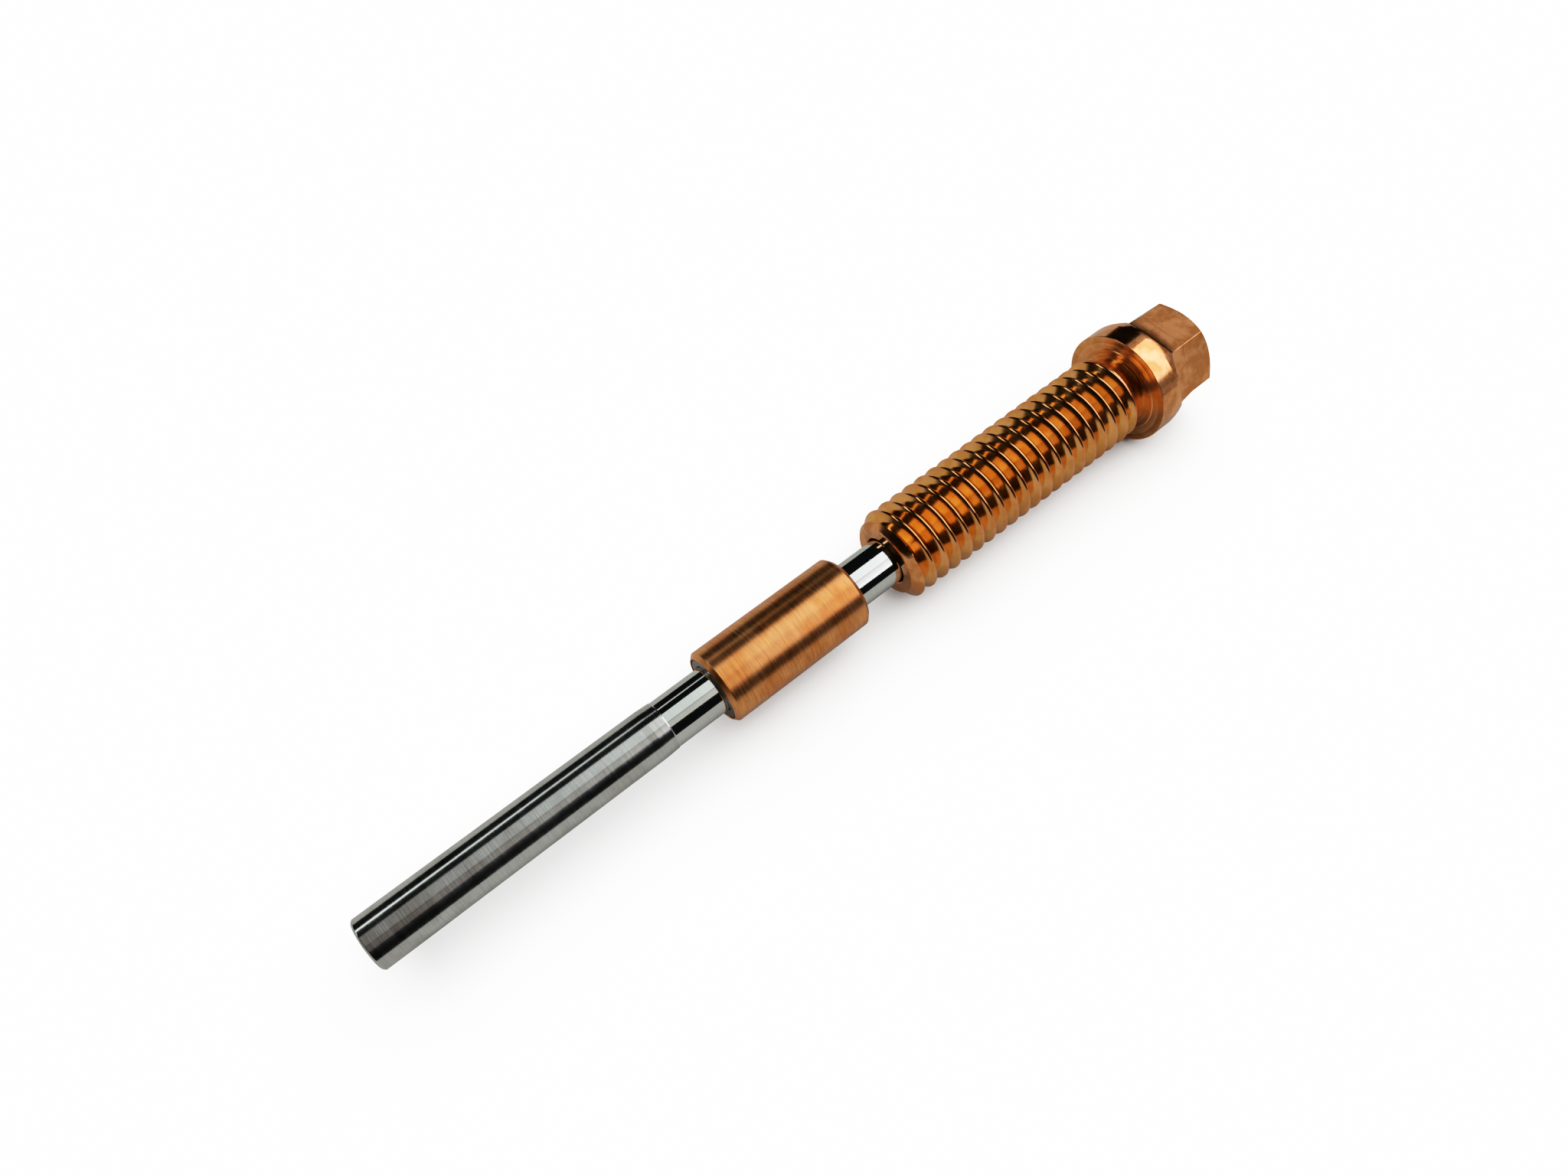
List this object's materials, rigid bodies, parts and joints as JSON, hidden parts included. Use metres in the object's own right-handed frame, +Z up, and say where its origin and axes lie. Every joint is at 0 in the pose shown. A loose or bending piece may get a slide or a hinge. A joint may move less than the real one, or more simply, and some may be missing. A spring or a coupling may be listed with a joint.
{
  "type": "hollow thrust screw on a stepped spindle",
  "caption": "Hollow hex-head screw and lined plain bush that slide on a stepped steel spindle, held by a washer and snap ring.",
  "frame": {"origin": "on the common axis, half way between the spindle's plain end and the hexagon's end face", "axes": "+X along the common axis from the plain end to the hexagon; +Z up when the axis lies level"},
  "size_m": [0.0622, 0.0078, 0.0078],
  "materials": {
    "ground_steel": "ground shank, polished journal",
    "brushed_copper": "ground round its girth, satin",
    "liner_metal": "dull grey bearing metal",
    "polished_copper": "machined and polished",
    "washer_steel": "satin",
    "spring_steel": "dark spring temper"
  },
  "bodies": {
    "spindle": {"spindle": "ground_steel", "retaining_ring": "spring_steel"},
    "bush": {"bush_shell": "brushed_copper", "bush_liner": "liner_metal"},
    "washer": {"thrust_washer": "washer_steel"},
    "screw": {"hollow_screw": "polished_copper"}
  },
  "joints": [
    {"name": "bush_slide", "type": "slide", "parent": "spindle", "child": "bush", "axis": [1, 0, 0], "range_m": [-0.0034, 0.0015]},
    {"name": "screw_slide", "type": "slide", "parent": "spindle", "child": "washer", "axis": [1, 0, 0], "range_m": [-0.0015, 0]},
    {"name": "screw_turn", "type": "hinge", "parent": "washer", "child": "screw", "pos_m": [0.0294, 0, 0], "axis": [1, 0, 0], "continuous": true}
  ]
}
